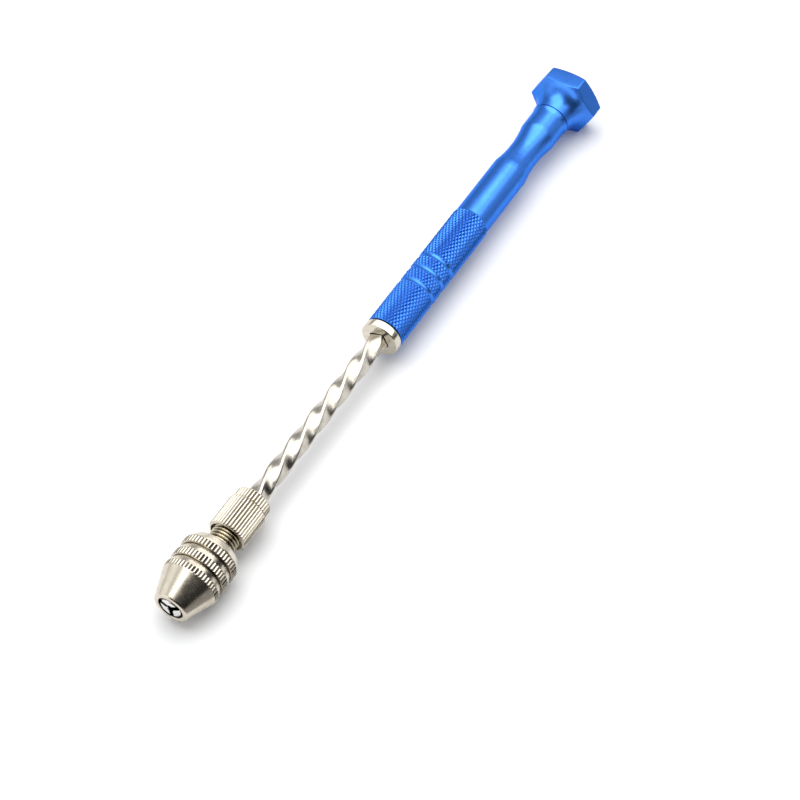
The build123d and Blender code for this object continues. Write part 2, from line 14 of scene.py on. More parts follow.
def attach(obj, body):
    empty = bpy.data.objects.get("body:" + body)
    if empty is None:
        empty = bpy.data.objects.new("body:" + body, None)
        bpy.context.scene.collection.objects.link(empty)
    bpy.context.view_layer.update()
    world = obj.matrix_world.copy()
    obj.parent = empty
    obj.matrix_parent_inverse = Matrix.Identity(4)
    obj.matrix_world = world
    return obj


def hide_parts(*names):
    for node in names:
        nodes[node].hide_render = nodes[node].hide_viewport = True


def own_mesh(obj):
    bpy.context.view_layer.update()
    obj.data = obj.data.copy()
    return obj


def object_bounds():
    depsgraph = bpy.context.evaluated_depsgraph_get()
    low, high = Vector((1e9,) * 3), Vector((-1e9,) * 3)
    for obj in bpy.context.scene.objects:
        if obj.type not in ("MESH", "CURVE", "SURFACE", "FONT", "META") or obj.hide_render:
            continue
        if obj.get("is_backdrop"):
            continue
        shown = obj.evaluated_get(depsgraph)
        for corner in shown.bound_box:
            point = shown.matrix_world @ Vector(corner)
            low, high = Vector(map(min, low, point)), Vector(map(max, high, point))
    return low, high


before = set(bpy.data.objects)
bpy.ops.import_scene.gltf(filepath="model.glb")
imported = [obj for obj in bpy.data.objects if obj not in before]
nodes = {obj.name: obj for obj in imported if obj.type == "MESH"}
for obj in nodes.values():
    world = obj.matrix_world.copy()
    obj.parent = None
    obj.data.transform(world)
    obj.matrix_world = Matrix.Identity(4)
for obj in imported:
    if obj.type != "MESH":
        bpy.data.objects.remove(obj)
cad_low, cad_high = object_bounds()

MM = 0.001
MICRON = 1e-6
TAU = 2 * math.pi
NOSE_X = cad_high.x / MM
AXIS_Z = (cad_low.z + cad_high.z) / 2 / MM


# ---------------------------------------------------------------- mesh tools


def points_of(stations, radii, angles):
    """Rings of points: arrays of [ring, point], in mm."""
    stations, radii, angles = np.broadcast_arrays(stations, radii, angles)
    x = NOSE_X - stations
    return np.stack([x, radii * np.cos(angles), AXIS_Z + radii * np.sin(angles)], -1)


def make_object(name, points, faces, cavity, sharp=32.0):
    """A mesh object from points in mm; edges sharper than the angle stay crisp."""
    mesh = bpy.data.meshes.new(name)
    mesh.from_pydata((points * MM).tolist(), [], faces)
    mesh.validate()
    mesh.shade_smooth()
    mesh.set_sharp_from_angle(angle=math.radians(sharp))
    layer = mesh.attributes.new("cavity", "FLOAT", "POINT")
    layer.data.foreach_set("value", cavity.astype(np.float32))
    thing = bpy.data.objects.new(name, mesh)
    bpy.context.scene.collection.objects.link(thing)
    return thing


def ring_faces(rings, count, loop, split=None):
    """Faces between neighbouring rings. split[ring, point] is 1 or 2 where a face is cut along a diagonal."""
    faces = []
    for i in range(rings if loop else rings - 1):
        here, there = i * count, ((i + 1) % rings) * count
        for j in range(count):
            k = (j + 1) % count
            a, b, c, d = here + j, there + j, there + k, here + k
            way = 0 if split is None or i >= len(split) else split[i][j]
            if way == 1:
                faces += [(a, b, c), (a, c, d)]
            elif way == 2:
                faces += [(a, b, d), (b, c, d)]
            else:
                faces.append((a, b, c, d))
    return faces


def rings_object(name, stations, radii, angles, cavity=None, poles=None, sharp=32.0, split=None):
    """A closed piece of rings, which make a loop unless poles gives the stations of two end points."""
    grid = points_of(stations, radii, angles)
    rings, count = grid.shape[:2]
    points = grid.reshape(-1, 3)
    faces = ring_faces(rings, count, poles is None, split)
    shade = np.zeros(len(points)) if cavity is None else np.broadcast_to(cavity, grid.shape[:2]).ravel()
    if poles is not None:
        first, last = len(points), len(points) + 1
        points = np.vstack([points, [NOSE_X - poles[0], 0, AXIS_Z], [NOSE_X - poles[1], 0, AXIS_Z]])
        shade = np.append(shade, [0, 0])
        end = (rings - 1) * count
        faces += [(first, j, (j + 1) % count) for j in range(count)]
        faces += [(last, end + (j + 1) % count, end + j) for j in range(count)]
    return make_object(name, points, faces, shade, sharp)


def dense(profile, step):
    """Adds points along a (station, radius) profile so that none are further apart than step."""
    out = [profile[0]]
    for (s0, r0), (s1, r1) in zip(profile, profile[1:]):
        parts = max(1, math.ceil(math.hypot(s1 - s0, r1 - r0) / step))
        out += [(s0 + (s1 - s0) * k / parts, r0 + (r1 - r0) * k / parts) for k in range(1, parts + 1)]
    return np.array(out)


def bend(start, control, end, t):
    """The point at share t of a curve from start to end that leans towards control."""
    return (1 - t) ** 2 * start + 2 * t * (1 - t) * control + t * t * end


def rounded(profile, size, parts=3):
    """Rounds the corners of an open (station, radius) profile, at most by size."""
    out = [profile[0]]
    for before, corner, after in zip(profile, profile[1:], profile[2:]):
        corner = np.array(corner, float)
        back, ahead = np.array(before, float) - corner, np.array(after, float) - corner
        back_length, ahead_length = np.linalg.norm(back), np.linalg.norm(ahead)
        start = corner + back / back_length * min(size, 0.45 * back_length)
        end = corner + ahead / ahead_length * min(size, 0.45 * ahead_length)
        out += [tuple(bend(start, corner, end, k / parts)) for k in range(parts + 1)]
    return out + [profile[-1]]


def around(count):
    """Evenly spaced angles."""
    return np.arange(count) * TAU / count


def smooth_step(x):
    """0 below 0 and 1 above 1, with a smooth rise between."""
    x = np.clip(x, 0, 1)
    return x * x * (3 - 2 * x)


def tooth_angles(teeth, shares):
    """Angles with the same shares of a tooth's pitch repeated all round."""
    return ((np.arange(teeth)[:, None] + np.array(shares)[None, :]) * TAU / teeth).ravel()


def vee(share, half, soft):
    """0 on a tooth's land and 1 at the bottom of the groove at share 0; soft rounds the groove's edges."""
    gap = np.minimum(share, 1 - share)
    return smooth_step((half + soft - gap) / (2 * soft)) * np.clip(1 - gap / (half + soft), 0, 1)


def finish_piece(thing, body, slot, material, *stands_for):
    """Gives a piece its material and its body, and hides the CAD nodes that it stands for; slot is not used.
    """
    thing.data.materials.append(material)
    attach(thing, body)
    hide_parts(*stands_for)


# ---------------------------------------------------------------- materials


def new_material(name):
    material = bpy.data.materials.new(name)
    material.use_nodes = True
    tree = material.node_tree
    shader = tree.nodes["Principled BSDF"]
    return material, tree, shader


def texture(tree, scale, detail, roughness=0.55):
    """Noise over the piece's own coordinates, stretched by the three scales (per metre)."""
    place = tree.nodes.new("ShaderNodeTexCoord")
    mapping = tree.nodes.new("ShaderNodeMapping")
    mapping.inputs["Scale"].default_value = scale
    noise = tree.nodes.new("ShaderNodeTexNoise")
    noise.inputs["Scale"].default_value = 1.0
    noise.inputs["Detail"].default_value = detail
    noise.inputs["Roughness"].default_value = roughness
    tree.links.new(place.outputs["Object"], mapping.inputs["Vector"])
    tree.links.new(mapping.outputs["Vector"], noise.inputs["Vector"])
    return noise.outputs["Fac"]


def ramp(tree, value, low, high, to_low, to_high):
    """Carries the range from low to high over to the range from to_low to to_high, and holds it there."""
    node = tree.nodes.new("ShaderNodeMapRange")
    node.inputs["From Min"].default_value = low
    node.inputs["From Max"].default_value = high
    node.inputs["To Min"].default_value = to_low
    node.inputs["To Max"].default_value = to_high
    tree.links.new(value, node.inputs["Value"])
    return node.outputs["Result"]


def sum_of(tree, one, two):
    node = tree.nodes.new("ShaderNodeMath")
    node.operation = "ADD"
    tree.links.new(one, node.inputs[0])
    tree.links.new(two, node.inputs[1])
    return node.outputs["Value"]


def blend_colour(tree, factor, one, two):
    node = tree.nodes.new("ShaderNodeMix")
    node.data_type = "RGBA"
    tree.links.new(factor, node.inputs["Factor"])
    for socket, colour in ((node.inputs["A"], one), (node.inputs["B"], two)):
        if isinstance(colour, tuple):
            socket.default_value = (*colour, 1)
        else:
            tree.links.new(colour, socket)
    return node.outputs["Result"]


def bump(tree, height, distance, strength, normal=None):
    node = tree.nodes.new("ShaderNodeBump")
    node.inputs["Distance"].default_value = distance
    node.inputs["Strength"].default_value = strength
    tree.links.new(height, node.inputs["Height"])
    if normal is not None:
        tree.links.new(normal, node.inputs["Normal"])
    return node.outputs["Normal"]


def cavity_of(tree):
    """The depth that the mesh says each point lies in a groove: 0 on top, 1 at the bottom, with bores and
    joints set to 1. It places painted shade, on the nickel together with grime.
    """
    node = tree.nodes.new("ShaderNodeAttribute")
    node.attribute_name = "cavity"
    return node.outputs["Fac"]


# Noise scales, per metre along X, Y and Z.
RINGS = (16000, 260, 260)
LENGTHWISE = (260, 9000, 9000)
EVEN = (5000, 5000, 5000)
PATCHES = (420, 420, 420)
SPECKS = (7000, 7000, 7000)
DYE = (260, 260, 260)
SPARKLE = (9000, 9000, 9000)
MOTTLE = (900, 900, 900)

# Groove colour of the nickel: grime together with painted shade.
GROOVE_GRIME_AND_SHADE = (0.05, 0.045, 0.035)
OIL_BLACK = (0.02, 0.019, 0.018)
RUBBED_BLUE = (0.10, 0.30, 0.80)
# Painted shade for the blue's grooves, bores and the joint with the nut.
PAINTED_SHADE_BLUE = (0.016, 0.07, 0.30)
BLUE_SHEEN = (0.38, 0.56, 0.95, 1)


def metal(name, colour, stain, rough, grain, microns, grime_and_shade=GROOVE_GRIME_AND_SHADE, most_grime_and_shade=0.93):
    """Bare or plated metal: tool marks some microns high, patchy gloss, faint stains, grime and painted shade
    in the grooves.
    """
    patch = 0.05
    material, tree, shader = new_material(name)
    shader.inputs["Metallic"].default_value = 1.0
    marks = texture(tree, grain, 4.0)
    patches = texture(tree, PATCHES, 5.0, 0.6)
    specks = texture(tree, SPECKS, 2.0)
    stained = blend_colour(tree, ramp(tree, patches, 0.42, 0.7, 0.0, 1.0), colour, stain)
    worn = blend_colour(tree, ramp(tree, specks, 0.66, 0.78, 0.0, 0.35), stained, stain)
    # Grime and painted shade: darker towards the groove colour where the mesh marks grooves, bores and
    # joints.
    grimed_and_shaded = blend_colour(tree, ramp(tree, cavity_of(tree), 0.12, 0.75, 0.0, most_grime_and_shade), worn, grime_and_shade)
    tree.links.new(grimed_and_shaded, shader.inputs["Base Color"])
    gloss = sum_of(tree, ramp(tree, patches, 0.3, 0.7, rough - patch, rough + patch),
                   ramp(tree, marks, 0.3, 0.7, -0.3 * patch, 0.5 * patch))
    tree.links.new(gloss, shader.inputs["Roughness"])
    lines = bump(tree, marks, microns * MICRON, 0.5)
    tree.links.new(bump(tree, specks, microns * MICRON, 0.15, lines), shader.inputs["Normal"])
    return material


def jaw_steel():
    """Hardened steel, ground bright on the front faces and oil-black behind them."""
    material = metal("jaw_steel", (0.80, 0.79, 0.76), (0.62, 0.60, 0.57), 0.26, RINGS, 5)
    tree = material.node_tree
    shader = tree.nodes["Principled BSDF"]
    bright = shader.inputs["Base Color"].links[0].from_socket
    place = tree.nodes.new("ShaderNodeTexCoord")
    parts = tree.nodes.new("ShaderNodeSeparateXYZ")
    tree.links.new(place.outputs["Generated"], parts.inputs["Vector"])
    behind = ramp(tree, parts.outputs["X"], 0.955, 0.985, 1.0, 0.0)
    tree.links.new(blend_colour(tree, behind, bright, OIL_BLACK), shader.inputs["Base Color"])
    return material


def anodised(name, colour, shade, rough):
    """Dyed anodised aluminium: a satin metal whose dye varies a little, paler where it is rubbed."""
    material, tree, shader = new_material(name)
    shader.inputs["Metallic"].default_value = 0.92
    shader.inputs["Specular Tint"].default_value = BLUE_SHEEN
    marks = texture(tree, RINGS, 4.0)
    dye = texture(tree, DYE, 4.0, 0.6)
    sparkle = texture(tree, SPARKLE, 2.0)
    tinted = blend_colour(tree, ramp(tree, dye, 0.35, 0.68, 0.0, 1.0), colour, shade)
    rubbed = blend_colour(tree, ramp(tree, sparkle, 0.64, 0.8, 0.0, 0.22), tinted, RUBBED_BLUE)
    # Painted shade: the blue darkens where the mesh marks grooves, bores and joints.
    groove_shaded = blend_colour(tree, ramp(tree, cavity_of(tree), 0.3, 1.0, 0.0, 0.68), rubbed, PAINTED_SHADE_BLUE)
    tree.links.new(groove_shaded, shader.inputs["Base Color"])
    gloss = sum_of(tree, ramp(tree, dye, 0.3, 0.7, rough - 0.04, rough + 0.05),
                   ramp(tree, sparkle, 0.3, 0.7, -0.03, 0.03))
    tree.links.new(gloss, shader.inputs["Roughness"])
    lines = bump(tree, marks, 4 * MICRON, 0.5)
    tree.links.new(bump(tree, sparkle, 4 * MICRON, 0.2, lines), shader.inputs["Normal"])
    return material


def moulded(name, colour, shade, rough):
    """Nylon or rubber: not metal, faintly mottled, with a fine moulded grain."""
    material, tree, shader = new_material(name)
    mottle = texture(tree, MOTTLE, 4.0)
    grain = texture(tree, EVEN, 2.0)
    tree.links.new(blend_colour(tree, ramp(tree, mottle, 0.35, 0.7, 0.0, 1.0), colour, shade),
                   shader.inputs["Base Color"])
    tree.links.new(ramp(tree, grain, 0.3, 0.7, rough - 0.06, rough + 0.08), shader.inputs["Roughness"])
    tree.links.new(bump(tree, grain, 20 * MICRON, 0.4), shader.inputs["Normal"])
    return material


NICKEL = (0.66, 0.60, 0.50)
NICKEL_STAIN = (0.57, 0.51, 0.41)
# Grime and painted shade for the roots of the neck's thread.
YELLOW_GRIME_AND_SHADE = (0.07, 0.055, 0.03)
sleeve_metal = metal("turned_nickel", NICKEL, NICKEL_STAIN, 0.24, RINGS, 6)
insert_metal = metal("insert_nickel", NICKEL, NICKEL_STAIN, 0.20, RINGS, 5)
# The knurled collar and socket take less grime and painted shade in their grooves.
collar_metal = metal("knurled_nickel", NICKEL, NICKEL_STAIN, 0.27, LENGTHWISE, 6, most_grime_and_shade=0.72)
socket_metal = metal("socket_nickel", NICKEL, NICKEL_STAIN, 0.27, LENGTHWISE, 6, most_grime_and_shade=0.72)
rod_metal = metal("rod_nickel", (0.56, 0.525, 0.46), (0.44, 0.405, 0.345), 0.25, LENGTHWISE, 8)
nut_metal = metal("nut_nickel", (0.66, 0.615, 0.52), NICKEL_STAIN, 0.16, RINGS, 3)
neck_metal = metal("neck_plate", (0.67, 0.61, 0.48), (0.56, 0.50, 0.37), 0.22, RINGS, 5, YELLOW_GRIME_AND_SHADE)
jaw_metal = jaw_steel()
spring_metal = metal("spring_steel", (0.50, 0.50, 0.50), (0.38, 0.36, 0.34), 0.30, EVEN, 4)
small_metal = metal("small_steel", (0.56, 0.56, 0.56), (0.44, 0.42, 0.40), 0.32, RINGS, 5)
ball_metal = metal("ball_steel", (0.68, 0.68, 0.68), (0.58, 0.58, 0.57), 0.12, EVEN, 2)
brass_metal = metal("seat_brass", (0.72, 0.52, 0.22), (0.52, 0.36, 0.14), 0.28, RINGS, 5)
handle_blue = anodised("blue_anodised", (0.056, 0.220, 0.76), (0.050, 0.196, 0.70), 0.29)
cap_blue = anodised("blue_cap", (0.052, 0.208, 0.73), (0.047, 0.184, 0.67), 0.30)
nylon = moulded("nylon", (0.75, 0.73, 0.68), (0.66, 0.64, 0.58), 0.45)
rubber = moulded("seal_rubber", (0.02, 0.02, 0.02), (0.035, 0.033, 0.03), 0.55)


# ---------------------------------------------------------------- chuck sleeve

TINY = 1e-6
EDGE = 0.12
JAW_TAPER = 0.268
SLEEVE_RADIUS = 8.05
SLEEVE_END = 18.1
NOSE_RADIUS = 4.9
NOSE_EASE = 0.4
NOSE_OPENING = 3.6
NOSE_BREAK = 0.25
TAPER_END = 8.4
BANDS = [(8.4, 9.7), (11.95, 13.8), (16.15, 17.9)]
GROOVES = [(11.7, 11.85), (15.85, 16.0)]
GROOVE_RADIUS = 7.35
FLANK_LENGTH = 1.6
SEAT_RADIUS = 6.5
SEAT_FRONT = 10.8
TEETH = 48
TOOTH_DEPTH = 0.28
TOOTH_START = BANDS[0][0] - 0.45
TOOTH_RISE, TOOTH_FALL = 0.4, 0.3

outer_slope = (SLEEVE_RADIUS - NOSE_RADIUS) / TAPER_END
outside = [(NOSE_BREAK, NOSE_OPENING), (0, NOSE_OPENING + NOSE_BREAK), (0, NOSE_RADIUS - NOSE_EASE),
           (EDGE, NOSE_RADIUS - EDGE), (NOSE_EASE, NOSE_RADIUS + NOSE_EASE * outer_slope),
           (TAPER_END, SLEEVE_RADIUS)]
for band, groove, next_band in zip(BANDS, GROOVES, BANDS[1:]):
    outside += [(band[1], SLEEVE_RADIUS), (groove[0], GROOVE_RADIUS), (groove[1], GROOVE_RADIUS),
                (next_band[0], SLEEVE_RADIUS)]
outside += [(BANDS[-1][1], SLEEVE_RADIUS), (SLEEVE_END, SLEEVE_RADIUS - EDGE), (SLEEVE_END, SEAT_RADIUS)]
inside = [(SLEEVE_END, SEAT_RADIUS), (SEAT_FRONT, SEAT_RADIUS),
          (SEAT_FRONT, NOSE_OPENING + JAW_TAPER * (SEAT_FRONT - NOSE_BREAK)), (NOSE_BREAK, NOSE_OPENING)]
outer = dense(rounded(outside, size=0.10), step=0.13)
profile = np.vstack([outer, dense(inside, step=1.5)[1:-1]])
station, radius = profile[:, :1], profile[:, 1:]
is_inner = np.arange(len(profile))[:, None] >= len(outer)

# The teeth run over the bands and fade out on the slope behind each of them.
shares = [0, 0.08, 0.16, 0.23, 0.29, 0.34, 0.42, 0.5, 0.58, 0.66, 0.71, 0.77, 0.84, 0.92]
cut = TOOTH_DEPTH * vee(np.array(shares * TEETH), half=0.36, soft=0.06)[None, :]
fade = smooth_step((station - TOOTH_START) / TOOTH_RISE)
for start, end in BANDS:
    on_flank = (station > end) & (station < end + FLANK_LENGTH)
    fade = np.where(on_flank, 1 - smooth_step((station - end) / TOOTH_FALL), fade)
fade = np.where(is_inner, 0, fade)
radii = np.minimum(radius, np.where(fade > 0, SLEEVE_RADIUS - cut * fade, radius))
# Grime and painted shade: the nickel darkens with the teeth's depth, inside the sleeve, round the nose
# opening and in the grooves between the bands.
cavity = np.where(radii < radius - TINY, cut * fade / TOOTH_DEPTH, 0)
cavity = np.where(is_inner | (radius < NOSE_OPENING + 0.1), 1, cavity)
for start, end in GROOVES:
    cavity = np.where((station > start - 0.03) & (station < end + 0.03), 1, cavity)
sleeve = rings_object("sleeve", station, radii, tooth_angles(TEETH, shares), cavity)
finish_piece(sleeve, "sleeve", "nickel_sleeve", sleeve_metal, "chuck_sleeve")

# ---------------------------------------------------------------- chuck insert

NECK_CLEAR = 4.06
INSERT_FRONT = 11.7
INSERT_RADIUS = 6.48
INSERT_LEAD = 0.3
FLANGE_FRONT, FLANGE_BACK = 18.12, 20.45
FLANGE_RADIUS = 7.85
FLANGE_LAND_END = 18.37
FLANGE_BACK_RADIUS = 6.75
SEAL_GROOVE_START, SEAL_GROOVE_END = 18.8, 19.8
SEAL_GROOVE_RADIUS = 4.95

outside = [(INSERT_FRONT, INSERT_RADIUS), (FLANGE_FRONT, INSERT_RADIUS), (FLANGE_FRONT, FLANGE_RADIUS - EDGE),
           (FLANGE_FRONT + EDGE, FLANGE_RADIUS), (FLANGE_LAND_END, FLANGE_RADIUS),
           (FLANGE_BACK - EDGE, FLANGE_BACK_RADIUS), (FLANGE_BACK, FLANGE_BACK_RADIUS - EDGE),
           (FLANGE_BACK, NECK_CLEAR + EDGE), (FLANGE_BACK - EDGE, NECK_CLEAR), (SEAL_GROOVE_END, NECK_CLEAR),
           (SEAL_GROOVE_END, SEAL_GROOVE_RADIUS), (SEAL_GROOVE_START, SEAL_GROOVE_RADIUS),
           (SEAL_GROOVE_START, NECK_CLEAR), (INSERT_FRONT + INSERT_LEAD, NECK_CLEAR),
           (INSERT_FRONT, NECK_CLEAR + INSERT_LEAD), (INSERT_FRONT, INSERT_RADIUS)]
profile = dense(rounded(outside, size=0.08), step=0.5)[:-1]
insert = rings_object("insert", profile[:, :1], profile[:, 1:], around(192))
finish_piece(insert, "sleeve", "nickel_insert", insert_metal, "chuck_insert")

# ---------------------------------------------------------------- threaded neck

THREAD_PITCH = 1.0
THREAD_DEPTH = 0.5
THREAD_START, THREAD_END = 8.9, 27.4
THREAD_STEP = 0.045
THREAD_RUN_OUT = 0.5
THREAD_STOP = THREAD_END - 0.2
NECK_RADIUS = 4.0
NECK_FRONT = 8.4
NECK_BORE_RADIUS = 1.75
NECK_BORE_LEAD = 0.3
NECK_BORE_END, NECK_BORE_TIP = 24.0, 24.9
TAIL_RADIUS = 3.35
TAIL_CHAMFER = 0.25
TAIL_END = 31.6

bore = [(NECK_BORE_END, NECK_BORE_RADIUS), (NECK_FRONT + NECK_BORE_LEAD, NECK_BORE_RADIUS),
        (NECK_FRONT, NECK_BORE_RADIUS + NECK_BORE_LEAD), (NECK_FRONT, NECK_RADIUS - THREAD_DEPTH)]
thread = [(s, NECK_RADIUS) for s in np.arange(THREAD_START, THREAD_END, THREAD_STEP)]
tail = [(THREAD_END, NECK_RADIUS), (THREAD_END, TAIL_RADIUS), (TAIL_END - TAIL_CHAMFER, TAIL_RADIUS),
        (TAIL_END, TAIL_RADIUS - TAIL_CHAMFER)]
profile = np.array(bore + thread + tail)
station, radius = profile[:, :1], profile[:, 1:]
angles = around(120)

# A helix: the depth follows the station and the angle together.
phase = (station / THREAD_PITCH + angles[None, :] / TAU) % 1
depth = np.interp(phase, [0, 0.16, 0.5, 0.66, 1.0], [0, 0, 1, 1, 0])
row = np.arange(len(profile))[:, None]
threaded = (row >= len(bore)) & (row < len(bore) + len(thread))
run_in = smooth_step((station - THREAD_START) / THREAD_RUN_OUT)
run_out = smooth_step((THREAD_STOP - station) / THREAD_RUN_OUT)
depth = depth * threaded * run_in * run_out
# Grime and painted shade: the thread's depth darkens its roots.
neck = rings_object("neck", station, radius - THREAD_DEPTH * depth, angles, depth,
                    poles=(NECK_BORE_TIP, TAIL_END))
finish_piece(neck, "spindle", "neck_plate", neck_metal, "threaded_neck")

# ---------------------------------------------------------------- collar and rod socket

RIDGE_DEPTH = 0.28
RIDGE_SWELL = 0.05


def ridged(name, outer, inner, teeth, radius, span, turn):
    """A turned piece with straight ridges round it between two stations."""
    shares = [0, 0.06, 0.12, 0.18, 0.24, 0.30, 0.38, 0.5, 0.62, 0.70, 0.76, 0.82, 0.88, 0.94]
    all_shares = np.array(shares * teeth)[None, :]
    profile = np.vstack([outer, inner])
    station, plain = profile[:, :1], profile[:, 1:]
    cut = RIDGE_DEPTH * vee(all_shares, half=0.31, soft=0.05)
    swell = RIDGE_SWELL * (1 - np.cos((all_shares - 0.5) * TAU)) * 0.5
    on_span = (station >= span[0] - TINY) & (station <= span[1] + TINY)
    is_outer = np.arange(len(profile))[:, None] < len(outer)
    radii = np.where(on_span & is_outer, np.minimum(plain, radius - cut - swell), plain)
    # Grime and painted shade: the ridges' grooves are darkened by their depth.
    cavity = np.where(radii < plain - TINY, cut / RIDGE_DEPTH, 0)
    return rings_object(name, station, radii, tooth_angles(teeth, shares) + turn, cavity)


COLLAR_START, COLLAR_END = 25.1, 35.2
COLLAR_RADIUS = 5.5
COLLAR_CHAMFER = 0.45
COLLAR_BORE = 3.37
RECESS_RADIUS = 4.75
RECESS_END = 27.42
COLLAR_RIDGES = 36
COLLAR_TURN = 0.03

outside = [(COLLAR_START, RECESS_RADIUS), (COLLAR_START, COLLAR_RADIUS - COLLAR_CHAMFER),
           (COLLAR_START + COLLAR_CHAMFER, COLLAR_RADIUS), (COLLAR_END - COLLAR_CHAMFER, COLLAR_RADIUS),
           (COLLAR_END, COLLAR_RADIUS - COLLAR_CHAMFER), (COLLAR_END, COLLAR_BORE)]
inside = [(RECESS_END, COLLAR_BORE), (RECESS_END, RECESS_RADIUS)]
outside = dense(rounded(outside, size=0.12), step=0.25)
span = (COLLAR_START, COLLAR_END)
collar = ridged("collar", outside, inside, COLLAR_RIDGES, COLLAR_RADIUS, span, COLLAR_TURN)
finish_piece(collar, "spindle", "nickel_collar", collar_metal, "chuck_collar")

SOCKET_START, SOCKET_END = 35.3, 38.5
SOCKET_RADIUS = 5.02
SOCKET_EASE = 0.7
SOCKET_RIDGES = 32
SOCKET_TURN = 0.11
SOCKET_STEM_FRONT, SOCKET_STEM_RADIUS = 31.7, 3.35
SOCKET_CHAMFER = 0.25
ROD_SEAT, ROD_SEAT_RADIUS = 33.24, 2.86
CENTRE_HOLE_RADIUS = 0.2

outside = [(SOCKET_STEM_FRONT + SOCKET_CHAMFER, SOCKET_STEM_RADIUS), (SOCKET_START, SOCKET_STEM_RADIUS),
           (SOCKET_START, SOCKET_RADIUS - EDGE), (SOCKET_START + EDGE, SOCKET_RADIUS),
           (SOCKET_END - SOCKET_EASE, SOCKET_RADIUS),
           (SOCKET_END - SOCKET_CHAMFER, SOCKET_RADIUS - SOCKET_CHAMFER),
           (SOCKET_END, SOCKET_RADIUS - SOCKET_EASE), (SOCKET_END, ROD_SEAT_RADIUS)]
inside = [(ROD_SEAT, ROD_SEAT_RADIUS), (ROD_SEAT, CENTRE_HOLE_RADIUS),
          (SOCKET_STEM_FRONT, CENTRE_HOLE_RADIUS), (SOCKET_STEM_FRONT, SOCKET_STEM_RADIUS - SOCKET_CHAMFER)]
outside = dense(rounded(outside, size=0.14), step=0.25)
span = (SOCKET_START, SOCKET_END)
socket = ridged("socket", outside, inside, SOCKET_RIDGES, SOCKET_RADIUS, span, SOCKET_TURN)
finish_piece(socket, "spindle", "nickel_socket", socket_metal, "rod_socket")

# ---------------------------------------------------------------- twisted rod

ROD_SIDE = 4.4
ROD_CORNER = 2.8
ROD_LEAD = 39.4
ROD_START, ROD_END = 33.3, 110.65
ROD_STEP = 0.35
CORNER_STATION, CORNER_DEGREES = 49.67, 64.0
TAIL_HOLE_START, TAIL_HOLE_RADIUS = 104.45, 1.0
CURVE_PARTS = 6
FLAT_PARTS = 8


def corner_angle(station):
    """The angle of one corner of the left-handed twist."""
    return np.radians(CORNER_DEGREES + 360 / ROD_LEAD * (station - CORNER_STATION))


def away(angle, length):
    """The step of a length in the direction of an angle."""
    return np.array([math.cos(angle), math.sin(angle)]) * length


def square_section(grow, corner_round):
    """Polar angles and radii of the rod's section, one corner at angle 0, its corners rounded."""
    quarter, back = TAU / 4, 3 * TAU / 8
    sharp_corner = math.sqrt(2) * (ROD_SIDE / 2 + grow)
    round_corner = ROD_CORNER + grow
    reach = (sharp_corner - round_corner) * (1 + corner_round) * math.sqrt(2)
    points = []
    for tip in (0, quarter, 2 * quarter, 3 * quarter):
        start = away(tip, sharp_corner) + away(tip - back, reach)
        end = away(tip, sharp_corner) + away(tip + back, reach)
        next_start = away(tip + quarter, sharp_corner) + away(tip + quarter - back, reach)
        # The middle of this curve lies on the rounded corner.
        control = 2 * away(tip, round_corner) - (start + end) / 2
        points += [bend(start, control, end, k / CURVE_PARTS) for k in range(CURVE_PARTS + 1)]
        points += [end + (next_start - end) * k / FLAT_PARTS for k in range(1, FLAT_PARTS)]
    x, y = np.array(points).T
    return np.unwrap(np.arctan2(y, x)), np.hypot(x, y)


turns, reach = square_section(grow=0, corner_round=0.35)
twisted = np.arange(ROD_START + 0.3, ROD_END - 0.25, ROD_STEP)
station = np.concatenate([[ROD_START], twisted, [ROD_END, ROD_END, TAIL_HOLE_START]])[:, None]
radii = np.repeat(reach[None, :], len(station), 0)
radii[-2:] = TAIL_HOLE_RADIUS
angles = turns[None, :] + corner_angle(station)
angles[-1] = angles[-2]
rod = rings_object("rod", station, radii, angles, poles=(ROD_START, TAIL_HOLE_START), sharp=24)
finish_piece(rod, "spindle", "nickel_rod", rod_metal, "spiral_rod")

# ---------------------------------------------------------------- nose nut

NUT_FRONT = 99.0
NUT_HOLE_END = 102.0
NUT_CLEAR = 0.26
HOLE_STEP = 0.31
MOUTH_BREAK = 0.08
FACE_INNER = 4.9
RIM_RADIUS = 5.6
RIM_CHAMFER = 0.18
RIM_END = 101.4
STEM_RADIUS = 4.4
STEM_END = 109.5
STEM_BORE = 3.0

turns, reach = square_section(grow=NUT_CLEAR, corner_round=0.25)
hole = np.arange(NUT_FRONT, NUT_HOLE_END + 0.01, HOLE_STEP)[::-1]
outside = [(NUT_FRONT, FACE_INNER), (NUT_FRONT, RIM_RADIUS - RIM_CHAMFER),
           (NUT_FRONT + RIM_CHAMFER, RIM_RADIUS), (RIM_END - EDGE, RIM_RADIUS), (RIM_END, RIM_RADIUS - EDGE),
           (RIM_END, STEM_RADIUS), (STEM_END, STEM_RADIUS), (STEM_END, STEM_BORE), (NUT_HOLE_END, STEM_BORE)]
outside = dense(rounded(outside, size=0.07), step=0.8)
station = np.concatenate([hole, [NUT_FRONT], outside[:, 0]])[:, None]
square = np.repeat(reach[None, :], len(hole), 0)
mouth = np.maximum(reach + MOUTH_BREAK, STEM_BORE + 0.1)[None, :]
radii = np.vstack([square, mouth, np.repeat(outside[:, 1:], len(reach), 1)])
angles = np.repeat(turns[None, :], len(station), 0) + corner_angle(NUT_FRONT)
angles[: len(hole)] = turns[None, :] + corner_angle(hole)[:, None]
in_hole = np.arange(len(station))[:, None] < len(hole) - 1
# Grime and painted shade: the nickel darkens inside the square hole and on the stem behind the rim, inside
# the handle.
cavity = np.where((station > RIM_END + 0.02) | in_hole, 1.0, 0.0)
nut = rings_object("nut", station, radii, angles, cavity)
finish_piece(nut, "handle", "nickel_nut", nut_metal, "nose_nut")

# ---------------------------------------------------------------- handle

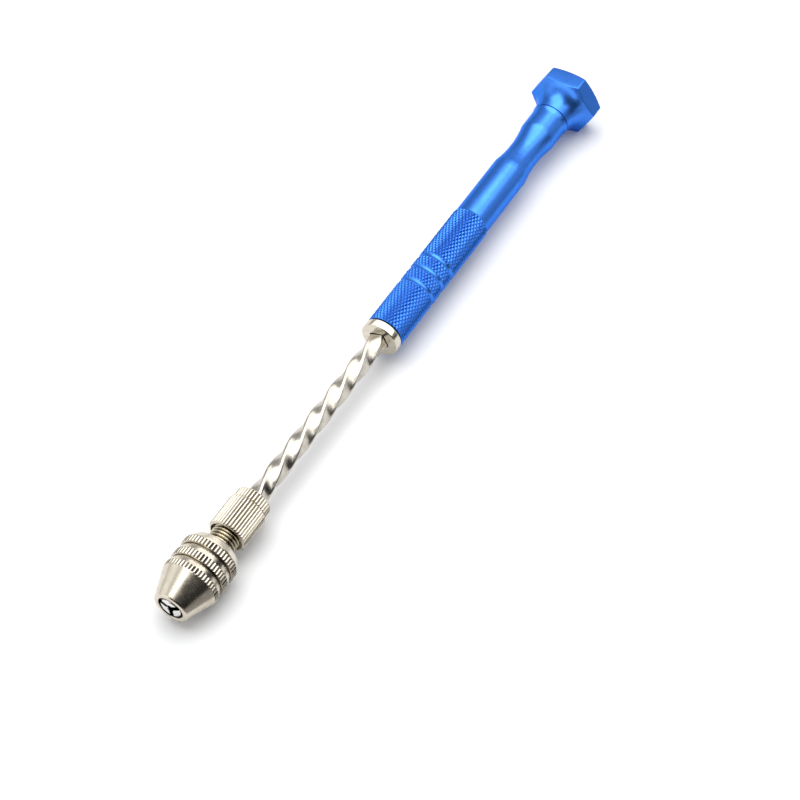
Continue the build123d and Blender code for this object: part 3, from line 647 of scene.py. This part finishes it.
HANDLE_FRONT = 101.86
HANDLE_END = 192.6
FRONT_CHAMFER = 0.25
GRIP_RADIUS = 5.58
PLAIN_RADIUS = 5.3
WAIST_START, WAIST_MIDDLE, WAIST_END = 169.4, 177.0, 184.9
WAIST_RADIUS = 4.5
SHOULDER_RADIUS = 5.33
LIP_START = 190.8
LIP_RADIUS = 5.66
LIP_EASE = 0.03
FRONT_BORE, FRONT_BORE_END = 4.43, 110.0
MAIN_BORE = 3.5
BACK_BORE, BACK_BORE_START = 4.2, 186.0

GROOVE_STATIONS = [117.9, 123.06, 127.94]
GROOVE_WIDTH = 1.8
GROOVE_DEPTH = 0.35
KNURL_DEPTH = 0.24
KNURL_END = 147.0
KNURL_STEP_DOWN = 0.3
DIAMONDS = 32
DIAMOND_LENGTH = 1.8
GROOVE_SHARE = 0.4
PARTS = 10
FLAT_EDGES = (4, 6)
STEP = DIAMOND_LENGTH / PARTS


def circle_through(a, b, c):
    """Centre and radius of the circle through three (station, radius) points."""
    ax, ay, bx, by, cx, cy = *a, *b, *c
    a2, b2, c2 = ax * ax + ay * ay, bx * bx + by * by, cx * cx + cy * cy
    d = 2 * (ax * (by - cy) + bx * (cy - ay) + cx * (ay - by))
    ux = (a2 * (by - cy) + b2 * (cy - ay) + c2 * (ay - by)) / d
    uy = (a2 * (cx - bx) + b2 * (ax - cx) + c2 * (bx - ax)) / d
    return ux, uy, math.hypot(ax - ux, ay - uy)


def hollow(s, radius, start, lowest, end):
    """Lays an arc through three (station, radius) points into the radii between the outer two stations."""
    ux, uy, big = circle_through(start, lowest, end)
    arc = uy - np.sqrt(np.maximum(big ** 2 - (s - ux) ** 2, 0))
    return np.where((s > start[0]) & (s < end[0]), arc, radius)


def handle_profile(s):
    """Outside radius of the handle before it is knurled."""
    radius = np.where(s < KNURL_END, GRIP_RADIUS, PLAIN_RADIUS)
    radius = np.minimum(radius, GRIP_RADIUS - FRONT_CHAMFER + (s - HANDLE_FRONT))
    for middle in GROOVE_STATIONS:
        radius = hollow(s, radius, (middle - GROOVE_WIDTH / 2, GRIP_RADIUS),
                        (middle, GRIP_RADIUS - GROOVE_DEPTH), (middle + GROOVE_WIDTH / 2, GRIP_RADIUS))
    share = (s - KNURL_END) / KNURL_STEP_DOWN
    radius = np.where((share >= 0) & (share < 1), GRIP_RADIUS + (PLAIN_RADIUS - GRIP_RADIUS) * share, radius)
    radius = hollow(s, radius, (WAIST_START, PLAIN_RADIUS), (WAIST_MIDDLE, WAIST_RADIUS),
                    (WAIST_END, SHOULDER_RADIUS))
    radius = np.where(s >= WAIST_END, SHOULDER_RADIUS, radius)
    lip = (s - LIP_START) / (HANDLE_END - LIP_START)
    return np.where(s > LIP_START, SHOULDER_RADIUS + (LIP_RADIUS - SHOULDER_RADIUS) * lip ** 2, radius)


def knurl(s, u):
    """0 on a diamond's flat top and 1 at the bottom of the grooves; u counts diamonds round the handle."""
    grooves = []
    for way in (1, -1):
        share = (u + way * (s - HANDLE_FRONT) / DIAMOND_LENGTH) % 1
        gap = np.minimum(share, 1 - share)
        grooves.append(np.clip(1 - gap / GROOVE_SHARE, 0, 1))
    return np.maximum(*grooves)


# The grip's rings are a tenth of a diamond apart, and closer in the finger grooves and at both ends.
lattice = HANDLE_FRONT + STEP * np.arange(0, math.ceil((KNURL_END + 0.4 - HANDLE_FRONT) / STEP) + 1)
grip, regular = [], []
for start, end in zip(lattice, lattice[1:]):
    in_groove = any(abs((start + end) / 2 - g) < GROOVE_WIDTH / 2 + 0.1 for g in GROOVE_STATIONS)
    near_end = start < HANDLE_FRONT + 0.3 or end > KNURL_END - 0.05
    pieces = 2 if in_groove else (3 if near_end else 1)
    grip += [start + (end - start) * k / pieces for k in range(pieces)]
    regular += [pieces == 1] * pieces
outer = np.concatenate([
    grip, np.arange(lattice[-1], WAIST_START, 2.0), np.linspace(WAIST_START, WAIST_END, 40),
    np.arange(WAIST_END + 0.8, LIP_START, 1.5), np.linspace(LIP_START, HANDLE_END - 0.1, 10)])
inner = np.array([(HANDLE_END - LIP_EASE, LIP_RADIUS - LIP_EASE), (HANDLE_END, LIP_RADIUS - EDGE),
                  (HANDLE_END, BACK_BORE), (BACK_BORE_START, BACK_BORE), (BACK_BORE_START, MAIN_BORE),
                  (FRONT_BORE_END, MAIN_BORE), (FRONT_BORE_END, FRONT_BORE), (HANDLE_FRONT, FRONT_BORE)])
station = np.concatenate([outer, inner[:, 0]])[:, None]
smooth = np.concatenate([handle_profile(outer), inner[:, 1]])[:, None]
count = DIAMONDS * PARTS
u = (np.arange(count) / PARTS)[None, :]
knurled = (station < KNURL_END + 0.35) & (np.arange(len(station))[:, None] < len(outer))
depth = np.where(knurled, knurl(station, u), 0)
radii = np.where(knurled, np.minimum(smooth, GRIP_RADIUS - KNURL_DEPTH * depth), smooth)
# Painted shade: the blue is darkened by the knurl's depth, all over the bores, and on the first two rings,
# which draw a dark line at the joint with the nut.
cavity = np.where(radii < smooth - TINY, depth, 0)
cavity[len(outer):][inner[:, 0] < HANDLE_END - 0.5] = 1
cavity[:2] = 1

# Faces are cut along the bottoms of the knurl's grooves and along the edges of the flat tops.
split = np.zeros((len(outer), count), int)
column = np.arange(count)
for i in np.flatnonzero(regular):
    ring = round((outer[i] - HANDLE_FRONT) / STEP)
    down, up = (column + ring + 1) % PARTS, (column - ring) % PARTS
    on_edge = [down == 0, up == 0, np.isin(down, FLAT_EDGES), np.isin(up, FLAT_EDGES)]
    split[i] = np.select(on_edge, [2, 1, 2, 1], 2)
handle = rings_object("handle_tube", station, radii, u * TAU / DIAMONDS, cavity, split=split, sharp=22)
finish_piece(handle, "handle", "blue_anodised", handle_blue, "handle_body")

# ---------------------------------------------------------------- palm cap

CAP_FRONT = 192.9
LENGTH = 206.0
HEX_FLATS = 18.0
CORNER_EASE = 0.09
DOME_RADIUS = 27.5
FLARE_MIDDLE = (197.9, 7.5)
FLARE_END = (199.83, 10.35)
PIN_HOLE_RADIUS = 2.5
PIN_HOLE_END = 201.65
CLIP_GROOVE_START, CLIP_GROOVE_END = 196.9, 198.1
CLIP_GROOVE_RADIUS = 3.1
PIN_HOLE_TIP = 0.6
SOFT = 0.16
flare_centre, flare_height, flare_radius = circle_through((CAP_FRONT, LIP_RADIUS), FLARE_MIDDLE, FLARE_END)


def flare_station(r):
    """Where the flare reaches a radius."""
    return flare_centre + np.sqrt(flare_radius ** 2 - (r - flare_height) ** 2)


def dome(r):
    """The station of the domed end at a radius."""
    return LENGTH - DOME_RADIUS + np.sqrt(DOME_RADIUS ** 2 - r ** 2)


near = np.radians([0, 0.5, 1.0, 1.6, 2.5])
one_side = np.concatenate([near, np.radians(np.linspace(4, 56, 22)), np.radians(60) - near[:0:-1]])
angles = np.concatenate([one_side + side * TAU / 6 for side in range(6)])
from_corner = np.minimum(angles % (TAU / 6), TAU / 6 - angles % (TAU / 6))
flat = HEX_FLATS / 2 / np.cos(TAU / 12 - from_corner)
hexagon = np.minimum(flat, HEX_FLATS / math.sqrt(3) - CORNER_EASE + 2 * from_corner ** 2)

# Rows from the bottom of the hole out to the front face, then over the flare and the flats to the dome.
rows = [(PIN_HOLE_END, PIN_HOLE_TIP), (PIN_HOLE_END, PIN_HOLE_RADIUS), (CLIP_GROOVE_END, PIN_HOLE_RADIUS),
        (CLIP_GROOVE_END, CLIP_GROOVE_RADIUS), (CLIP_GROOVE_START, CLIP_GROOVE_RADIUS),
        (CLIP_GROOVE_START, PIN_HOLE_RADIUS), (CAP_FRONT, PIN_HOLE_RADIUS), (CAP_FRONT, LIP_RADIUS - EDGE),
        (CAP_FRONT + LIP_EASE, LIP_RADIUS - LIP_EASE)]
flare_top = np.minimum(hexagon, FLARE_END[1])
low = flare_top - SOFT
for k in range(1, 25):
    r = LIP_RADIUS + (low - LIP_RADIUS) * k / 24
    rows.append((flare_station(r), r))
top_station = flare_station(flare_top)
flat_start, flat_end = top_station + SOFT, dome(hexagon) - SOFT
for t in (0.25, 0.5, 0.75, 1.0):
    rows.append((bend(flare_station(low), top_station, flat_start, t), bend(low, hexagon, hexagon, t)))
for t in (0.33, 0.67, 1.0):
    rows.append((flat_start + (flat_end - flat_start) * t, hexagon))
dome_edge = hexagon - SOFT
for t in (0.25, 0.5, 0.75, 1.0):
    rows.append((bend(flat_end, dome(hexagon), dome(dome_edge), t), bend(hexagon, hexagon, dome_edge, t)))
for t in (0.85, 0.68, 0.5, 0.33, 0.17, 0.05):
    rows.append((dome(dome_edge * t), dome_edge * t))
stations = np.array([np.broadcast_to(s, angles.shape) for s, r in rows])
radii = np.array([np.broadcast_to(r, angles.shape) for s, r in rows])
cap = rings_object("palm_cap_hex", stations, radii, angles, poles=(PIN_HOLE_END, LENGTH), sharp=40)
finish_piece(cap, "palm_cap", "blue_cap", cap_blue, "hex_cap")

# ---------------------------------------------------------------- return spring

SPRING_START, SPRING_END = 115.7, 186.0
SPRING_RADIUS = 2.8
SPRING_GAP = 0.05
SPRING_TURNS = 20
WIRE = 0.275
TURN_POINTS = 28
WIRE_POINTS = 10

t = np.linspace(0, 1, SPRING_TURNS * TURN_POINTS + 1)
middle = SPRING_START + WIRE + SPRING_GAP + (SPRING_END - SPRING_START - 2 * (WIRE + SPRING_GAP)) * t
section = np.linspace(0, TAU, WIRE_POINTS, endpoint=False)[None, :]
grid = points_of(middle[:, None] + WIRE * np.sin(section), SPRING_RADIUS + WIRE * np.cos(section),
                 TAU * SPRING_TURNS * t[:, None])
points = grid.reshape(-1, 3)
faces = [tuple(reversed(face)) for face in ring_faces(len(t), WIRE_POINTS, False)]
faces += [tuple(range(WIRE_POINTS)), tuple(range(len(points) - 1, len(points) - WIRE_POINTS - 1, -1))]
spring = make_object("spring_coil", points, faces, np.zeros(len(points)))
finish_piece(spring, "handle", "spring_steel", spring_metal, "return_spring")
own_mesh(spring)

# ---------------------------------------------------------------- jaw springs

# Copies of the CAD springs, because they get shorter as the jaws close on them.
JAW_SPRING_STATION = 5.2
JAW_SPRING_DISTANCE = 3.0
JAW_SPRING_ANGLE = 34.0
for number, letter in enumerate("abc", 1):
    original = nodes[f"jaw_spring_{number}"]
    coil = bpy.data.objects.new(f"jaw_coil_{number}", original.data.copy())
    bpy.context.scene.collection.objects.link(coil)
    coil.matrix_world = original.matrix_world
    coil.data.materials.clear()
    finish_piece(coil, f"jaw_spring_{letter}", "spring_steel", spring_metal, f"jaw_spring_{number}")
    angle = math.radians(JAW_SPRING_ANGLE + 120 * (number - 1))
    middle = points_of(JAW_SPRING_STATION, JAW_SPRING_DISTANCE, angle) * MM
    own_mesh(coil)

# ---------------------------------------------------------------- carried-over CAD pieces

CARRIED_OVER = [
    (jaw_metal, ["jaw_1", "jaw_2", "jaw_3"]),
    (small_metal, ["stop_washer", "tail_screw", "cap_clip", "swivel_plug"]),
    (ball_metal, ["seat_ball", "cap_ball"]),
    (brass_metal, ["spring_seat"]),
    (nylon, ["bump_washer"]),
    (rubber, ["neck_seal"]),
]
for material, names in CARRIED_OVER:
    for name in names:
        nodes[name].data.materials.clear()
        nodes[name].data.materials.append(material)

# ---------------------------------------------------------------- floor

# From here on lengths are in metres, apart from the stations.
FLOOR_SIZE = 6
FLOOR_GAP = 0.00002
CAP_TOUCH_STATION = FLARE_END[0] - 0.5
PAPER = (0.82, 0.82, 0.825)


def matt_material(name, colour, rough):
    material, _, shader = new_material(name)
    shader.inputs["Base Color"].default_value = (*colour, 1)
    shader.inputs["Roughness"].default_value = rough
    shader.inputs["Specular IOR Level"].default_value = 0.2
    return material


def square_to(direction, centre):
    """The placement of a thing at centre whose own Z points in a direction."""
    return Matrix.Translation(centre) @ direction.to_track_quat("Z", "Y").to_matrix().to_4x4()


def panel(name, centre, facing, width, height, material):
    """A flat rectangle square to a direction."""
    w, h = width / 2, height / 2
    mesh = bpy.data.meshes.new(name)
    mesh.from_pydata([(-w, -h, 0), (w, -h, 0), (w, h, 0), (-w, h, 0)], [], [(0, 1, 2, 3)])
    mesh.materials.append(material)
    thing = bpy.data.objects.new(name, mesh)
    bpy.context.scene.collection.objects.link(thing)
    thing.matrix_world = square_to(facing, centre)
    thing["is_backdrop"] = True
    return thing


# The drill rests on the cap's flat and the sleeve's rim, so the floor leans by their difference.
cap_touch = Vector(((NOSE_X - CAP_TOUCH_STATION) * MM, 0, 0))
sleeve_touch = Vector(((NOSE_X - BANDS[1][0]) * MM, 0, (AXIS_Z - SLEEVE_RADIUS) * MM))
run = sleeve_touch - cap_touch
floor_up = Vector((-run.z, 0, run.x)).normalized()
paper = matt_material("paper", PAPER, 0.6)
panel("floor", cap_touch - floor_up * FLOOR_GAP, floor_up, FLOOR_SIZE, FLOOR_SIZE, paper)

# ---------------------------------------------------------------- cards that only the metal shows


def glow(name, strength):
    """A material that shines by itself."""
    material, _, shader = new_material(name)
    shader.inputs["Base Color"].default_value = (0, 0, 0, 1)
    shader.inputs["Specular IOR Level"].default_value = 0
    shader.inputs["Emission Color"].default_value = (1, 1, 1, 1)
    shader.inputs["Emission Strength"].default_value = strength
    return material


def card(name, centre, facing, size, material):
    """A panel that reflections show, and that nothing else does."""
    thing = panel(name, centre, facing, *size, material)
    thing.visible_camera = False
    thing.visible_shadow = False
    thing.visible_diffuse = False


CAP_TOP_STATION = 203.0
target = Vector((0, 0, AXIS_Z * MM))
cap_top = Vector(((NOSE_X - CAP_TOP_STATION) * MM, 0, HEX_FLATS * MM))
black = matt_material("black", (0.004, 0.004, 0.004), 0.9)

# Name, what it faces, the way to it from there, its distance and size in metres, and material.
FAR_CARDS = [
    ("camera_side_card", target, (0.40, 0.69, 0.54), 0.5, (0.50, 0.80), black),
    ("front_card", target, (0.90, 0.30, 0.30), 0.6, (0.8, 0.4), black),
    ("horizon_card", target, (0.04, 0.97, 0.22), 0.5, (0.38, 0.32), black),
    ("collar_side_card", target, (-0.45, 0.86, 0.14), 0.56, (0.16, 0.22), glow("collar_side_glow", 0.22)),
    ("far_side_card", target, (-0.49, -0.77, 0.40), 0.72, (0.46, 0.54), glow("far_side_glow", 0.45)),
    ("chuck_fill", target, (0.20, -0.88, 0.45), 0.6, (0.26, 0.34), glow("chuck_fill_glow", 1.3)),
    ("grey_card", cap_top, (-0.616, -0.346, 0.708), 0.12, (0.05, 0.05), glow("grey_glow", 0.56)),
    ("front_fill", target, (0.80, -0.55, 0.30), 0.8, (0.7, 0.4), glow("soft_glow", 1.5)),
    ("light_edge", target, (-0.48, 0.72, 1.0), 1.3, (1.4, 0.66), glow("edge_glow", 2.3)),
]
for name, faced, way, distance, size, material in FAR_CARDS:
    way = Vector(way).normalized()
    card(name, faced + way * distance, -way, size, material)

# Name, centre in metres, the direction it faces, size and material.
NEAR_CARDS = [
    ("bevel_card", (-0.015, 0, 0.052), (1, 0, -0.4), (0.11, 0.045), glow("bevel_glow", 2.2)),
    ("bevel_shade", (0.045, 0.032, 0.018), (0.84, -0.54, 0), (0.03, 0.026), black),
    ("corner_card", (0.13, 0.10, 0.035), (-0.85, -0.53, 0), (0.26, 0.07), black),
    ("cap_side_card", (-0.12, 0.30, 0.018), (0, -1, 0), (0.2, 0.056), black),
]
for name, centre, facing, size, material in NEAR_CARDS:
    card(name, Vector(centre), Vector(facing), size, material)

# Patches of the table that the shiny sides see darker than the white paper: name, x and y of the
# middle from the middle of the two touching points, size across and along the drill, and material.
FLOOR_PATCHES = [
    ("chuck_shade", 0.20, 0.21, (0.39, 0.26), glow("chuck_shade_glow", 0.34)),
    ("handle_shade", -0.24, 0.22, (0.38, 0.37), glow("handle_shade_glow", 0.54)),
    ("rod_shade", 0.03, 0.36, (0.16, 0.48), black),
]
PATCH_LIFT = 0.0004
for name, x, y, size, material in FLOOR_PATCHES:
    middle = (cap_touch + sleeve_touch) / 2 + Vector((x, y, PATCH_LIFT + run.z / run.x * x))
    card(name, middle, floor_up, size, material)

# ---------------------------------------------------------------- light and camera

LIGHT_WAY = Vector((-0.17, -0.12, 1.0)).normalized()
LIGHT_DISTANCE = 1.0
LIGHT_SIZE = (1.15, 1.0)
LIGHT_POWER = 11
SKY = (0.97, 0.985, 1.0, 1)
SKY_STRENGTH = 0.74

light = bpy.data.lights.new("overhead", "AREA")
light.shape = "RECTANGLE"
light.size, light.size_y = LIGHT_SIZE
light.energy = LIGHT_POWER
lamp = bpy.data.objects.new("overhead", light)
bpy.context.scene.collection.objects.link(lamp)
lamp.matrix_world = square_to(LIGHT_WAY, target + LIGHT_WAY * LIGHT_DISTANCE)

world = bpy.data.worlds.new("studio")
world.use_nodes = True
background = world.node_tree.nodes["Background"]
background.inputs["Color"].default_value = SKY
background.inputs["Strength"].default_value = SKY_STRENGTH
bpy.context.scene.world = world
bpy.context.scene.view_settings.view_transform = "Standard"
bpy.context.scene.view_settings.look = "None"

CAMERA_PLACE = Vector((0.3446, 0.2480, 0.5249))
CAMERA_WAY = Vector((-0.49916, -0.35581, -0.79009)).normalized()
CAMERA_ROLL = math.radians(4.892)
FOCAL_LENGTH = 111.0
SENSOR_WIDTH = 36

upright = (Vector((0, 0, 1)) - CAMERA_WAY * CAMERA_WAY.z).normalized()
level = CAMERA_WAY.cross(upright)
right = level * math.cos(CAMERA_ROLL) - upright * math.sin(CAMERA_ROLL)
up = level * math.sin(CAMERA_ROLL) + upright * math.cos(CAMERA_ROLL)
lens = bpy.data.cameras.new("camera")
lens.lens = FOCAL_LENGTH
lens.sensor_width = SENSOR_WIDTH
lens.clip_start, lens.clip_end = 0.01, 20
camera = bpy.data.objects.new("camera", lens)
bpy.context.scene.collection.objects.link(camera)
turned = Matrix((right, up, -CAMERA_WAY)).transposed().to_4x4()
camera.matrix_world = Matrix.Translation(CAMERA_PLACE) @ turned
bpy.context.scene.camera = camera

low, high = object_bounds()
